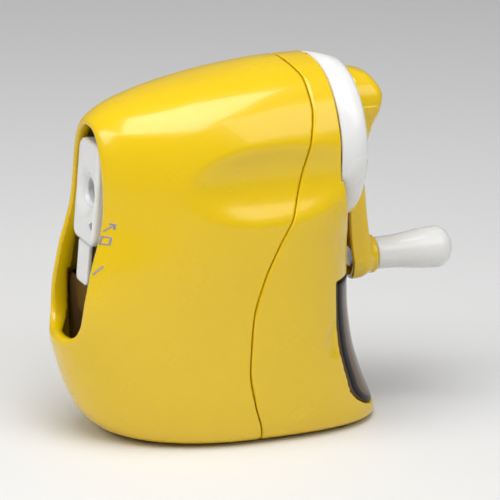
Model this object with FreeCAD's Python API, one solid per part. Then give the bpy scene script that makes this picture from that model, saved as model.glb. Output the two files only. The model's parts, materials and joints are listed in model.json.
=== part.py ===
import FreeCAD, Part
import math
import os
from FreeCAD import Matrix, Placement, Rotation, Vector

# Hand-cranked desktop pencil sharpener, in millimetres. +Z is up, the pencil goes in at the
# front, -Y, and the crank is at the back, +Y. The origin is on the table, under the middle.

# Body shell
body_height = 126.5
body_width = 68.0
front_reach = 74.0      # from the origin to the foremost point of the shell
rear_reach = 42.0       # from the origin to the heel at the back of the base
wall = 2.4
foot_height = 0.8       # how far the shell stands off the table
seam_gap = 0.25
shell_gap = 0.5         # between a shell and a piece that slides beside it

# Grip dents in the sides
dent_length = 64.0
dent_height = 18.5
dent_radius = 12.0      # across the body
dent_depth = 3.0
dent_y = 2.0
dent_rise = 6.5         # above the pencil axis
dent_turn = 2.5         # how the dent follows the side, seen from above
dent_lean = 9.0         # and seen from the front

# Gearbox cover on the back
cover_radius = body_width / 2 - 4.3
cover_front = 19.6
cover_depth = 11.7
cover_rear_radius = cover_radius - 2.7
cover_wall = 1.8
cover_edge = 1.6
cover_gap = 0.3
cover_screw_circle = 24.2
cover_screw_angle = 35.0
cover_screw_seat = 0.2  # between the screws' heads and the wall they pass through

# Heights of the axes
cover_height = body_height - cover_radius - 0.1
pencil_drop = 10.7
pencil_height = cover_height - pencil_drop

# Reduction gears in the gearbox
crank_teeth = 16
carrier_teeth = 32
gear_module = 0.95
gear_width = 5.0
gear_side_gap = 1.4
gear_backlash = 0.16
gear_relief = 0.4       # between the gear's tips and the cover
gear_holes = 5
gear_hole_circle = 9.4
gear_hole_radius = 3.0
crank_height = pencil_height + gear_module * (crank_teeth + carrier_teeth) / 2

# Cutter head: a tilted helical cutter that rolls round a fixed ring gear
ring_teeth = 28
pinion_teeth = 8
ring_pitch_radius = 15.4
ring_outer_radius = 19.8
ring_width = 6.0
ring_middle = -31.0
ring_backlash = 0.2
ring_cone = 16.05       # half angle of the ring gear's cone at the apex, in degrees
pinion_cone = 4.53      # and of the pinion's
cutter_tilt = 11.52
cutter_radius = 6.4
cutter_length = 27.0
cutter_blades = 14
cutter_twist = 50.0
axle_radius = 1.5
running_gap = 0.05
apex_y = ring_middle + ring_pitch_radius / math.tan(math.radians(ring_cone))
carrier_radius = 13.3
carrier_front = -38.0
carrier_back = 7.0
front_plate_thickness = 3.0
front_plate_radius = 16.0
shaft_radius = 3.2
shaft_overhang = 1.4    # past the gear, for the clip
groove_depth = 0.6

# Frame that holds the cutter head
frame_radius = 22.0
frame_front = -45.5
frame_plate = 2.6
frame_back = 8.4
bar_height = 10.0
lug_radius = 3.6
lug_circle = 13.0
screw_radius = 1.3
screw_head_radius = 2.6
screw_head_height = 1.6
small_head_radius = 2.2
small_head_height = 1.0
carrier_screw_depth = 6.0

# Front slot and slider
slot_half_width = 14.2
slot_above = 22.2       # from the pencil axis up to the top of the slot
slot_below = 49.0
lip_width = 2.0         # the rim that turns in round the slot
lip_depth = 5.5
slider_width = 18.7
slider_above = 17.0
slider_below = 17.6
slider_boss = 5.4
slider_flange = 1.6
slider_flange_above = 11.5
slider_flange_width = 29.0
slider_front = -61.1
slider_tilt = 4.0
slider_travel = 11.0
tongue_width = 9.7
tongue_below = 32.0
tongue_thickness = 1.6
tongue_setback = 0.7
peg_radius = 0.6
pencil_bore = 4.2
funnel_radius = 7.4
collar_radius = 5.6
guide_bar = 2.0

# Drawer
drawer_drop = 33.3      # from the pencil axis down to the rim of the drawer
drawer_width = 52.6
drawer_floor = 6.4
drawer_wall = 1.7
drawer_front = -60.2
drawer_top = pencil_height - drawer_drop
drawer_gap = 0.5
drawer_lift = 0.4       # between the drawer's floor and the lower edge of its opening
drawer_corner = 9.0
dip_width = 18.4        # the dip in the drawer's back that lets it pass under the crank
dip_depth = 8.6
runner_x = 16.0
runner_width = 3.0
thumb_radius = 6.3
thumb_height = 33.5

# Crank and knob
crank_radius = 55.8
arm_gap = 0.8
arm_wall = 1.9
hub_radius = 11.6
waist_radius = 7.4
knob_end_radius = 8.0
crank_shaft_radius = 3.0
bush_radius = 5.6
knob_height = crank_height - crank_radius
hub_socket = 5.0         # how far the shaft goes into the arm
hub_screw_seat = 7.4
knob_start = 44.9
knob_length = 28.8
knob_neck = 5.6
knob_bulb = 7.3
knob_pin_radius = 2.0
collar_outer = 6.6

# Underside
foot_radius = 5.0
foot_thickness = 2.2
plate_length = 44.0
plate_width = 30.0
plate_thickness = 1.6
plate_y = -10.0
plate_corner = 6.0
plate_boss_radius = 3.4

half_width = body_width / 2
far = 300.0


def smooth(table, t):
    """A curve through a few points that never overshoots them."""
    last = len(table) - 1
    if t <= table[0][0]:
        return table[0][1]
    if t >= table[last][0]:
        return table[last][1]
    rises = [(b[1] - a[1]) / (b[0] - a[0]) for a, b in zip(table, table[1:])]
    slopes = [rises[0]]
    for before, after in zip(rises, rises[1:]):
        turn = before * after
        slopes.append(0.0 if turn <= 0 else 2 * turn / (before + after))
    slopes.append(rises[-1])
    i = max(k for k in range(last) if table[k][0] <= t)
    span = table[i + 1][0] - table[i][0]
    s = (t - table[i][0]) / span
    near = (1 + 2 * s) * (1 - s) ** 2 * table[i][1] + s * (1 - s) ** 2 * span * slopes[i]
    next_part = s * s * (3 - 2 * s) * table[i + 1][1] - s * s * (1 - s) * span * slopes[i + 1]
    return near + next_part


# How the body's outline changes with height. The first number is a share of the body's height,
# and the second a share of its half width, front reach or rear reach.
width_curve = [
    (0.0, 0.79), (0.024, 0.905), (0.07, 0.965), (0.16, 0.994), (0.28, 1.0), (0.47, 0.988),
    (0.60, 0.965), (0.73, 0.918), (0.82, 0.85), (0.885, 0.744), (0.933, 0.613),
    (0.968, 0.455), (0.99, 0.26), (1.0, 0.06),
]
front_curve = [
    (0.0, -0.67), (0.024, -0.765), (0.07, -0.845), (0.12, -0.893), (0.20, -0.942),
    (0.29, -0.982), (0.38, -1.0), (0.49, -0.972), (0.625, -0.911), (0.79, -0.881),
    (0.85, -0.848), (0.89, -0.775), (0.927, -0.622), (0.958, -0.41), (0.984, -0.135),
    (1.0, 0.07),
]
rear_curve = [
    (0.0, 0.95), (0.02, 1.0), (0.063, 0.954), (0.15, 0.848), (0.24, 0.770), (0.36, 0.724),
    (0.55, 0.709), (0.66, 0.75), (0.74, 0.85), (0.95, 0.85), (1.0, 0.6),
]
middle_curve = [(0.0, -10.0), (0.7, -8.0), (0.87, -1.0), (0.95, 6.0), (1.0, 12.0)]
rear_squareness = [(0.0, 3.0), (0.3, 2.6), (0.52, 2.7), (0.70, 5.0), (1.0, 7.0)]
front_squareness = 2.1


def section(height, inset):
    """The body's outline at one height, drawn in by the inset."""
    share = height / body_height
    width = half_width * smooth(width_curve, share) - inset
    front = front_reach * smooth(front_curve, share) + inset
    rear = rear_reach * smooth(rear_curve, share) - inset
    middle = smooth(middle_curve, share)
    points = []
    steps = 36
    for k in range(steps):
        angle = 2 * math.pi * k / steps
        across = math.cos(angle)
        along = math.sin(angle)
        if along > 0:
            power = 2 / smooth(rear_squareness, share)
            reach = rear - middle
        else:
            power = 2 / front_squareness
            reach = middle - front
        x = width * math.copysign(abs(across) ** power, across)
        y = middle + reach * math.copysign(abs(along) ** power, along)
        points.append(Vector(x, y, height))
    curve = Part.BSplineCurve()
    curve.interpolate(points, PeriodicFlag=True)
    return Part.Wire([curve.toShape()])


def body_form(inset, bottom, top):
    """The body as one closed solid, drawn in by the inset, from one height to another."""
    shares = [0.0, 0.02, 0.05, 0.10, 0.19, 0.29, 0.38, 0.48, 0.58, 0.69, 0.785, 0.845, 0.885, 0.92,
              0.948, 0.97, 0.986, 0.996]
    heights = [bottom + (top - bottom) * s for s in shares] + [top]
    return Part.makeLoft([section(h, inset) for h in heights], True, False)


def box(x0, x1, y0, y1, z0, z1):
    return Part.makeBox(x1 - x0, y1 - y0, z1 - z0, Vector(x0, y0, z0))


def rod(radius, y0, y1, x=0.0, z=0.0):
    """A cylinder along Y."""
    return Part.makeCylinder(radius, y1 - y0, Vector(x, y0, z), Vector(0, 1, 0))


def tube(outer, inner, y0, y1, x=0.0, z=0.0):
    return rod(outer, y0, y1, x, z).cut(rod(inner, y0 - 1, y1 + 1, x, z))


def side_prism(points, half):
    """A solid across the body with a smooth edge through the (y, z) points, closed far behind."""
    curve = Part.BSplineCurve()
    curve.interpolate([Vector(-half, y, z) for y, z in points])
    first = Vector(-half, *points[0])
    last = Vector(-half, *points[-1])
    corners = [last, Vector(-half, far, points[-1][1]), Vector(-half, far, points[0][1]), first]
    edges = [curve.toShape()] + [Part.makeLine(a, b) for a, b in zip(corners, corners[1:])]
    return Part.Face(Part.Wire(edges)).extrude(Vector(2 * half, 0, 0))


def rear_cut(forward):
    """What is behind the rim that the gearbox cover sits in."""
    rim = [
        (cover_front, body_height + 20), (cover_front, cover_height + 20),
        (cover_front, cover_height + 3), (cover_front + 1.2, cover_height - 9),
        (cover_front + 4.6, cover_height - 23), (cover_front + 13, cover_height - 33),
    ]
    solid = side_prism(rim, half_width + 10)
    solid.translate(Vector(0, -forward, 0))
    return solid


def behind_seam(shift):
    """What is behind the S-shaped parting line between the two shells."""
    seam = [
        (-7.4, -0.05), (-8.6, 0.03), (-12.0, 0.12), (-14.2, 0.22), (-13.4, 0.35),
        (-9.2, 0.47), (-4.0, 0.555), (1.4, 0.63), (5.4, 0.73), (8.8, 0.83), (10.8, 0.91),
        (10.8, 0.965), (8.4, 1.0), (4.4, 1.05),
    ]
    return side_prism([(y + shift, share * body_height) for y, share in seam], half_width + 10)


def dent(side, extra):
    """The hollow for a thumb or a finger in one side of the body."""
    height = pencil_height + dent_rise
    surface = half_width * smooth(width_curve, height / body_height)
    scale = Matrix()
    scale.scale(dent_radius + extra, dent_length + extra, dent_height + extra)
    ball = Part.makeSphere(1.0).transformGeometry(scale)
    ball.rotate(Vector(0, 0, 0), Vector(0, 0, 1), -side * dent_turn)
    ball.rotate(Vector(0, 0, 0), Vector(0, 1, 0), -side * dent_lean)
    ball.translate(Vector(side * (surface + dent_radius - dent_depth), dent_y, height))
    return ball


def slot_cut(grow):
    """The tall oval slot in the front, a little larger all round."""
    top = pencil_height + slot_above + grow
    low = pencil_height - slot_below - grow
    shape = [
        (0.0, top), (0.58, top - 5.5), (0.76, top - 10.4), (0.89, top - 15.5),
        (1.0, top - 25.5), (1.0, top - 42.0), (0.96, low + 10.0), (0.72, low + 3.0),
        (0.0, low),
    ]
    half = slot_half_width + grow
    right = [Vector(half * share, -front_reach - 10, z) for share, z in shape]
    left = [Vector(-p.x, p.y, p.z) for p in right[-2:0:-1]]
    curve = Part.BSplineCurve()
    curve.interpolate(right + left, PeriodicFlag=True)
    return Part.Face(Part.Wire([curve.toShape()])).extrude(Vector(0, 32.0, 0))


def slot_lip(outer):
    """A rim that turns in behind the slot's edge, kept clear of the slider and the drawer."""
    rim = slot_cut(lip_width).common(outer).cut(body_form(lip_depth, foot_height, body_height))
    clear = lean(box(-half_width, half_width, -far, slider_front + slider_boss - 0.5, 0, body_height))
    return rim.common(clear).cut(box(-half_width, half_width, drawer_front - 0.5, 0, 0, drawer_top + 1))


def foot_places():
    return [(side * x, y) for side in (-1, 1) for x, y in ((11.0, -38.0), (19.0, 23.0))]


def plate_screw_places():
    along = plate_length / 2 - 5.0
    across = plate_width / 2 - 6.0
    return [(x, plate_y + dy) for x in (-across, across) for dy in (-along, along)]


def cover_screw_places():
    """Two screws below the middle, and two above it that stand further in, clear of the roof."""
    spots = []
    for up, circle in ((-1, cover_screw_circle), (1, cover_screw_circle - 1.7)):
        turn = math.radians(up * cover_screw_angle)
        for side in (-1, 1):
            spots.append((side * circle * math.cos(turn), cover_height + circle * math.sin(turn)))
    return spots


def lug_places():
    spots = []
    for degrees in (30, 150, 270):
        turn = math.radians(degrees)
        spots.append((lug_circle * math.cos(turn), pencil_height + lug_circle * math.sin(turn)))
    return spots


def upright(radius, x, y, z0, z1):
    """A cylinder along Z."""
    return Part.makeCylinder(radius, z1 - z0, Vector(x, y, z0))


def drawer_bay():
    """The opening for the drawer."""
    reach = drawer_width / 2 + drawer_gap
    bay = box(-reach, reach, 0.0, far, drawer_floor - drawer_lift, drawer_top + drawer_gap)
    return round_low_edges(bay, drawer_corner + drawer_lift)


def shells():
    """The yellow body, cut into its front and rear shells."""
    outer = body_form(0.0, foot_height, body_height)
    hollow = body_form(wall, foot_height + wall, body_height - wall)
    for side in (-1, 1):
        outer = outer.cut(dent(side, 0.0))
        hollow = hollow.cut(dent(side, wall))
    outer = outer.cut(rear_cut(0.0))
    hollow = hollow.cut(rear_cut(wall))
    bulkhead = cover_front - wall
    hollow = hollow.cut(rod(cover_radius + cover_gap + wall, bulkhead, far, 0, cover_height))
    outer = outer.cut(rod(cover_radius + cover_gap, cover_front, far, 0, cover_height))
    shell = outer.cut(hollow)
    bosses = []
    for x in (-runner_x, runner_x):
        half = runner_width / 2
        bosses.append(box(x - half, x + half, -50, 30, foot_height + 1, drawer_floor - 0.3))
    for x, y in plate_screw_places():
        bosses.append(upright(plate_boss_radius, x, y, foot_height + 1, drawer_floor - 0.3))
    shell = shell.multiFuse([b.common(outer) for b in bosses] + [slot_lip(outer)])
    cuts = [slot_cut(0.0), drawer_bay(), base_plate_form(0.2)]
    for x, y in foot_places():
        cuts.append(upright(foot_radius + 0.1, x, y, -1, foot_thickness + 0.1))
    for x, y in plate_screw_places():
        cuts.append(upright(screw_radius, x, y, -1, drawer_floor - 1.2))
    edge = drawer_bay_edge()
    for x in (-1, 1):
        notch = Part.makeCylinder(thumb_radius, 12.0, Vector(24.0, edge, thumb_height), Vector(1, 0, 0))
        cuts.append(notch if x > 0 else notch.mirror(Vector(0, 0, 0), Vector(1, 0, 0)))
    for x, z in cover_screw_places() + lug_places():
        cuts.append(rod(screw_radius, bulkhead - 1, cover_front + 1, x, z))
    cuts.append(rod(shaft_radius + 1.0, bulkhead - 1, cover_front + 1, 0, pencil_height))
    cuts.append(rod(bush_radius, bulkhead - 1, cover_front + 1, 0, crank_height))
    for piece in cuts:
        shell = shell.cut(piece)
    front = shell.cut(behind_seam(-seam_gap / 2))
    rear = shell.common(behind_seam(seam_gap / 2))
    return biggest(front), biggest(rear)


def drawer_bay_edge():
    """Where the body's outline passes the side of the drawer bay."""
    share = thumb_height / body_height
    squareness = smooth(rear_squareness, share)
    across = (drawer_width / 2 + drawer_gap) / (half_width * smooth(width_curve, share))
    along = (1 - across ** squareness) ** (1 / squareness)
    middle = smooth(middle_curve, share)
    return middle + along * (rear_reach * smooth(rear_curve, share) - middle)


def biggest(shape):
    return max(shape.Solids, key=lambda solid: solid.Volume)


def round_low_edges(solid, radius):
    """Rounds the two bottom edges that run along Y."""
    low = solid.BoundBox.ZMin + 0.001
    edges = [e for e in solid.Edges if e.BoundBox.ZMax < low and e.BoundBox.XLength < 0.001]
    return solid.makeFillet(radius, edges)


def base_plate_form(grow):
    half = plate_width / 2 + grow
    reach = plate_length / 2 + grow
    top = foot_height + plate_thickness
    plate = box(-half, half, plate_y - reach, plate_y + reach, foot_height - 0.2, top)
    return round_upright_edges(plate, plate_corner)


def round_upright_edges(solid, radius):
    def upright_edge(edge):
        a, b = edge.Vertexes[0].Point, edge.Vertexes[-1].Point
        return abs(a.x - b.x) < 1e-6 and abs(a.y - b.y) < 1e-6
    return solid.makeFillet(radius, [e for e in solid.Edges if upright_edge(e)])


def base_plate():
    plate = base_plate_form(0.0)
    for x, y in plate_screw_places():
        plate = plate.cut(upright(screw_radius + 0.2, x, y, -1, 6))
        plate = plate.cut(upright(screw_head_radius + 0.1, x, y, -1, foot_height + 0.8))
    return plate


def upright_screw(x, y, head_z, length):
    """A screw that points up, with its head at the bottom."""
    head = upright(screw_head_radius, x, y, head_z, head_z + 0.7)
    shank = upright(screw_radius, x, y, head_z, head_z + length)
    return cross_recess(head.fuse(shank), Vector(x, y, head_z), Vector(0, 0, 1))


def rear_screw(x, z, head_y, length):
    """A screw along Y with its head at the front end."""
    head = rod(screw_head_radius, head_y - screw_head_height, head_y, x, z)
    shank = rod(screw_radius, head_y - 0.5, head_y + length, x, z)
    face = Vector(x, head_y - screw_head_height, z)
    return cross_recess(head.fuse(shank), face, Vector(0, 1, 0))


def cross_recess(screw, face, inward):
    """Cuts a cross in a screw's head."""
    for turn in (0, 90):
        bar = box(-1.5, 1.5, -0.3, 0.3, -0.1, 0.5)
        bar.rotate(Vector(0, 0, 0), Vector(0, 0, 1), turn)
        bar.Placement = Placement(face, Rotation(Vector(0, 0, 1), inward)).multiply(bar.Placement)
        screw = screw.cut(bar)
    return screw


def feet():
    solids = []
    for x, y in foot_places():
        pad = upright(foot_radius, x, y, 0, foot_thickness)
        rim = [e for e in pad.Edges if abs(e.BoundBox.ZMax) < 1e-6]
        solids.append(pad.makeFillet(0.5, rim))
    return Part.makeCompound(solids)


def cover_drum(inset, y0, y1):
    """The cover's outer form, which is a little smaller at the back, drawn in by the inset."""
    return Part.makeCone(cover_radius - inset, cover_rear_radius - inset, y1 - y0,
                         Vector(0, y0, cover_height), Vector(0, 1, 0))


def gearbox_cover():
    y0 = cover_front + cover_gap
    y1 = cover_front + cover_depth
    drum = cover_drum(0.0, y0, y1)
    rim = [e for e in drum.Edges if len(e.Vertexes) == 1 and abs(e.BoundBox.YMin - y1) < 1e-3]
    drum = drum.makeFillet(cover_edge, rim)
    drum = drum.cut(cover_drum(cover_wall, y0 - 1, y1 - cover_wall))
    for x, z in cover_screw_places():
        post = rod(3.0, y0, y1 - 1, x, z).common(cover_drum(0.5, y0, y1))
        drum = drum.fuse(post).cut(rod(screw_radius, y0 - 1, y1 - 2.2, x, z))
    relief = rod(carrier_gear_reach(), y0 - 1, gear_y() + gear_width + gear_relief, 0, pencil_height)
    return drum.cut(relief).cut(rod(bush_radius, y0, y1 + 1, 0, crank_height))


def carrier_gear_reach():
    """The room that the carrier's gear needs round its tips."""
    return gear_module * (carrier_teeth / 2 + 1) + gear_relief


def involute(angle):
    return math.tan(angle) - angle


def gear_wire(teeth, pitch_radius, backlash, internal, phase):
    """A tooth outline in the XZ plane. For an internal gear it is the outline of the hole."""
    module = 2 * pitch_radius / teeth
    pressure = math.radians(22)
    base = pitch_radius * math.cos(pressure)
    inner = pitch_radius - (0.78 if internal else 1.0) * module
    outer = pitch_radius + (1.0 if internal else 0.78) * module
    slack = (1 if internal else -1) * backlash / 2 / pitch_radius
    steps = 5
    flank = []
    for k in range(steps):
        radius = inner + (outer - inner) * k / (steps - 1)
        at = math.acos(min(1.0, base / radius))
        half = math.pi / 2 / teeth + involute(pressure) - involute(at) + slack
        flank.append((radius, half))
    points = []
    for tooth in range(teeth):
        centre = phase + 2 * math.pi * tooth / teeth
        for radius, half in flank:
            points.append((radius, centre - half))
        for radius, half in reversed(flank):
            points.append((radius, centre + half))
    corners = [Vector(r * math.cos(a), 0, r * math.sin(a)) for r, a in points]
    return Part.makePolygon(corners + [corners[0]])


def spur_gear(teeth, bore, y0, z, phase):
    wire = gear_wire(teeth, gear_module * teeth / 2, gear_backlash, False, phase)
    blank = Part.Face(wire).extrude(Vector(0, gear_width, 0))
    blank.translate(Vector(0, y0, z))
    return blank.cut(rod(bore, y0 - 1, y0 + gear_width + 1, 0, z))


def gear_y():
    return cover_front + gear_side_gap


def carrier_gear():
    gear = spur_gear(carrier_teeth, shaft_radius, gear_y(), pencil_height, math.pi / 2)
    for hole in range(gear_holes):
        angle = 2 * math.pi * hole / gear_holes
        x = gear_hole_circle * math.cos(angle)
        z = pencil_height + gear_hole_circle * math.sin(angle)
        gear = gear.cut(rod(gear_hole_radius, gear_y() - 1, gear_y() + gear_width + 1, x, z))
    return gear


def crank_pinion():
    phase = -math.pi / 2 + math.pi / crank_teeth
    return spur_gear(crank_teeth, crank_shaft_radius, gear_y(), crank_height, phase)


def cone_teeth(wire, middle, width):
    """A loft of a tooth outline that shrinks towards the apex, as a bevel gear's does."""
    reach = apex_y - ring_middle
    wires = []
    for end in (-width / 2, width / 2):
        scale = (reach - end) / reach
        ring = wire.copy()
        ring.scale(scale)
        ring.translate(Vector(0, middle + end, 0))
        wires.append(ring)
    return Part.makeLoft(wires, True, True)


def ring_gear():
    wire = gear_wire(ring_teeth, ring_pitch_radius, ring_backlash, True, math.pi / 2)
    hole = cone_teeth(wire, ring_middle, ring_width + 0.4)
    hole.translate(Vector(0, 0, pencil_height))
    half = ring_width / 2
    ring = rod(ring_outer_radius, ring_middle - half, ring_middle + half, 0, pencil_height)
    return ring.cut(hole)


def tilt_to_cutter(solid):
    """Turns a solid made about the line through the apex along Y onto the cutter's axis."""
    solid.rotate(Vector(0, apex_y, 0), Vector(1, 0, 0), -cutter_tilt)
    solid.translate(Vector(0, 0, pencil_height))
    return solid


def cutter_reach(y):
    """The place along the cutter's axis that is level with y on the main axis."""
    return apex_y - (apex_y - y) / math.cos(math.radians(cutter_tilt))


def cutter_pinion():
    ring_angle = math.radians(ring_cone)
    pinion_angle = math.radians(pinion_cone)
    pitch = ring_pitch_radius * math.sin(pinion_angle) / math.sin(ring_angle)
    wire = gear_wire(pinion_teeth, pitch, ring_backlash, False, math.pi / 2)
    reach = apex_y - ring_middle
    middle = apex_y - reach / math.cos(ring_angle) * math.cos(pinion_angle)
    teeth = cone_teeth(wire, middle, ring_width - 0.8)
    gear = teeth.cut(rod(axle_radius + running_gap, middle - 9, middle + 9))
    return tilt_to_cutter(gear)


def cutter_start():
    return cutter_reach(ring_middle) + ring_width / 2 + 0.6


def helical_cutter():
    """A fluted steel roller, made of slices that turn a little from one to the next."""
    slices = 6
    wires = []
    for k in range(slices + 1):
        turn = math.radians(cutter_twist) * k / slices
        y = cutter_start() + cutter_length * k / slices
        corners = []
        for blade in range(2 * cutter_blades):
            radius = cutter_radius if blade % 2 == 0 else cutter_radius - 0.9
            angle = turn + math.pi * blade / cutter_blades
            corners.append(Vector(radius * math.cos(angle), y, radius * math.sin(angle)))
        wires.append(Part.makePolygon(corners + [corners[0]]))
    roller = Part.makeLoft(wires, True, True)
    y0 = cutter_start()
    bore = rod(axle_radius + running_gap, y0 - 1, y0 + cutter_length + 1)
    return tilt_to_cutter(roller.cut(bore))


def cutter_axle():
    start = cutter_reach(carrier_front - front_plate_thickness + 0.6)
    stop = cutter_start() + cutter_length + 3.0
    return tilt_to_cutter(rod(axle_radius, start, stop))


def cutter_carrier():
    """The rotating cage round the cutter, open on the cutter's side."""
    body = rod(carrier_radius, carrier_front, carrier_back, 0, pencil_height)
    pocket_start = cutter_start() - ring_width - 1.8
    pocket_end = cutter_start() + cutter_length + 0.6
    pocket = rod(cutter_radius + 0.8, pocket_start, pocket_end)
    across = cutter_radius + 0.8
    window = box(-across, across, pocket_start, pocket_end, 0, 30)
    for piece in (pocket, window):
        body = body.cut(tilt_to_cutter(piece))
    tip_y = apex_y - cutter_radius / math.sin(math.radians(cutter_tilt))
    bore = rod(pencil_bore + 0.3, carrier_front - 1, ring_middle, 0, pencil_height)
    length = tip_y + 6 - ring_middle
    taper = Part.makeCone(pencil_bore + 0.3, 0.6, length,
                          Vector(0, ring_middle, pencil_height), Vector(0, 1, 0))
    chips = box(-8.0, 8.0, carrier_front + 8, tip_y + 6, pencil_height - 20, pencil_height - 6)
    body = body.cut(bore).cut(taper).cut(chips)
    axle = tilt_to_cutter(rod(axle_radius + running_gap / 5, carrier_front - 30, pocket_end + 2.6))
    body = body.cut(axle)
    for x, z in carrier_screw_places():
        end = carrier_front + carrier_screw_depth + 0.2
        body = body.cut(rod(screw_radius, carrier_front - 1, end, x, z))
    return biggest(body.cut(rod(shaft_radius, carrier_back - 3.0, carrier_back + 1, 0, pencil_height)))


def carrier_plate():
    """The plate that closes the front of the carrier and holds the axle's front end."""
    y0 = carrier_front - front_plate_thickness
    plate = rod(front_plate_radius, y0, carrier_front, 0, pencil_height)
    plate = plate.cut(rod(pencil_bore + 0.3, y0 - 1, carrier_front + 1, 0, pencil_height))
    plate = plate.cut(tilt_to_cutter(rod(axle_radius + 0.01, carrier_front - 30, 0)))
    for x, z in carrier_screw_places():
        plate = plate.cut(rod(screw_radius, y0 - 1, carrier_front + 1, x, z))
    return plate


def carrier_screw_places():
    return [(side * 8.6, pencil_height - 6.0) for side in (-1, 1)]


def carrier_screws():
    y = carrier_front - front_plate_thickness
    solids = []
    for x, z in carrier_screw_places():
        shank = rod(screw_radius, y - 0.5, carrier_front + carrier_screw_depth, x, z)
        solids.append(rod(small_head_radius, y - small_head_height, y, x, z).fuse(shank))
    return Part.makeCompound(solids)


def carrier_shaft():
    end = gear_y() + gear_width + shaft_overhang
    shaft = rod(shaft_radius, carrier_back - 3.0, end, 0, pencil_height)
    groove = tube(shaft_radius + 1, shaft_radius - groove_depth, end - 1.2, end - 0.5, 0, pencil_height)
    return shaft.cut(groove)


def gear_clip():
    end = gear_y() + gear_width + shaft_overhang
    ring = tube(shaft_radius + 1.6, shaft_radius - groove_depth, end - 1.15, end - 0.55, 0, pencil_height)
    return ring.cut(box(-1.6, 1.6, end - 3, end + 3, pencil_height - 20, pencil_height))


def cutter_frame():
    """The cast frame: a cup for the ring gear, two bars and a back plate with its bearing."""
    z = pencil_height
    cup_end = ring_middle + ring_width / 2
    cup = rod(frame_radius, frame_front, cup_end, 0, z)
    cup = cup.cut(rod(ring_outer_radius, ring_middle - ring_width / 2, cup_end + 1, 0, z))
    cup = cup.cut(rod(front_plate_radius + 1.2, frame_front + frame_plate, cup_end, 0, z))
    cup = cup.cut(rod(pencil_bore + 2.6, frame_front - 1, cup_end, 0, z))
    cup = cup.cut(box(-11, 11, frame_front + frame_plate + 1, ring_middle - 4, z - 40, z))
    back = rod(frame_radius, frame_back, frame_back + frame_plate + 1, 0, z)
    pieces = [back]
    inner = ring_outer_radius - 1.0
    for side in (-1, 1):
        low, high = sorted((side * inner, side * (frame_radius + 1)))
        bar = box(low, high, cup_end - 2.5, frame_back + 1, z - bar_height / 2, z + bar_height / 2)
        bar = bar.common(tube(frame_radius, inner + 1.0, cup_end - 2.5, frame_back + 1, 0, z))
        pieces.append(bar.cut(rod(ring_outer_radius, cup_end - 9, cup_end, 0, z)))
    for x, lug_z in lug_places():
        pieces.append(rod(lug_radius, frame_back, cover_front - wall, x, lug_z))
    frame = cup.multiFuse(pieces)
    frame = frame.cut(rod(bush_radius, 0, frame_back + 20, 0, z))
    for x, lug_z in lug_places():
        frame = frame.cut(rod(screw_radius, frame_back + 1, far, x, lug_z))
    return biggest(frame)


def frame_screws():
    """Screws from the gearbox side into the frame's lugs."""
    solids = []
    for x, z in lug_places():
        head = rod(small_head_radius, cover_front, cover_front + small_head_height, x, z)
        solids.append(head.fuse(rod(screw_radius, frame_back + 2, cover_front + 0.5, x, z)))
    return Part.makeCompound(solids)


def cover_screws():
    solids = []
    for x, z in cover_screw_places():
        solids.append(rear_screw(x, z, cover_front - wall - cover_screw_seat, 9.2))
    return Part.makeCompound(solids)


def pencil_tube():
    """The plastic tube that leads the pencil from the slider to the cutter."""
    back = frame_front + frame_plate
    body = rod(pencil_bore + 2.6, frame_front - 4.0, back, 0, pencil_height)
    body = body.fuse(rod(pencil_bore + 4.6, frame_front - 1.2, frame_front, 0, pencil_height))
    bore = rod(pencil_bore + 0.1, frame_front - 9, back + 1, 0, pencil_height)
    mouth = Part.makeCone(pencil_bore + 2.0, pencil_bore + 0.1, 3.0,
                          Vector(0, frame_front - 4.0, pencil_height), Vector(0, 1, 0))
    return body.cut(bore).cut(mouth)


def carrier_bush():
    y1 = frame_back + frame_plate + 1
    return tube(bush_radius, shaft_radius + running_gap, frame_back - 0.8, y1, 0, pencil_height)


def inner_crank_bush():
    return tube(bush_radius, crank_shaft_radius + running_gap,
                cover_front - wall, cover_front + 0.6, 0, crank_height)


def outer_crank_bush():
    y1 = cover_front + cover_depth
    bore = crank_shaft_radius + running_gap
    return tube(bush_radius, bore, y1 - cover_wall - 1, y1 + 0.2, 0, crank_height)


def lean(solid):
    """Leans a solid made upright at the pencil bore, as the front of the body leans."""
    solid.rotate(Vector(0, slider_front, pencil_height), Vector(1, 0, 0), -slider_tilt)
    return solid


def slider_plate():
    z = pencil_height
    half = slider_width / 2
    low = z - slider_below
    high = z + slider_above
    y1 = slider_front + slider_boss
    boss = box(-half, half, slider_front, y1, low, high)
    boss = boss.makeFillet(3.4, [e for e in boss.Edges if abs(e.tangentAt(e.FirstParameter).y) > 0.99])
    rim = [e for e in boss.Edges if e.BoundBox.YMax < slider_front + 1e-3]
    boss = boss.makeFillet(1.1, rim)
    flange_half = slider_flange_width / 2
    flange = box(-flange_half, flange_half, y1, y1 + slider_flange, low, z + slider_flange_above)
    plate = lean(boss.fuse(flange).cut(shutter_pegs(0.0)))
    plate = plate.cut(rod(collar_radius, slider_front - 9, slider_front + 20, 0, z))
    dish = Part.makeCone(funnel_radius + 1.6, collar_radius - 0.4, 3.0,
                         Vector(0, slider_front - 1.2, z), Vector(0, 1, 0))
    return biggest(plate.cut(dish))


def shutter_pegs(shrink):
    """The two pegs that hold the shutter in the bottom edge of the slider plate."""
    low = pencil_height - slider_below
    y = slider_front + tongue_setback + tongue_thickness / 2
    pegs = [upright(peg_radius - shrink, x, y, low - 1, low + 2.5 - shrink) for x in (-3.0, 3.0)]
    return pegs[0].fuse(pegs[1])


def slot_shutter():
    """The narrow strip under the slider plate that closes the slot while a pencil is in."""
    half = tongue_width / 2
    top = pencil_height - slider_below - 0.02
    front = slider_front + tongue_setback
    strip = box(-half, half, front, front + tongue_thickness, pencil_height - tongue_below, top)
    return lean(strip.fuse(shutter_pegs(0.03)))


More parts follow.
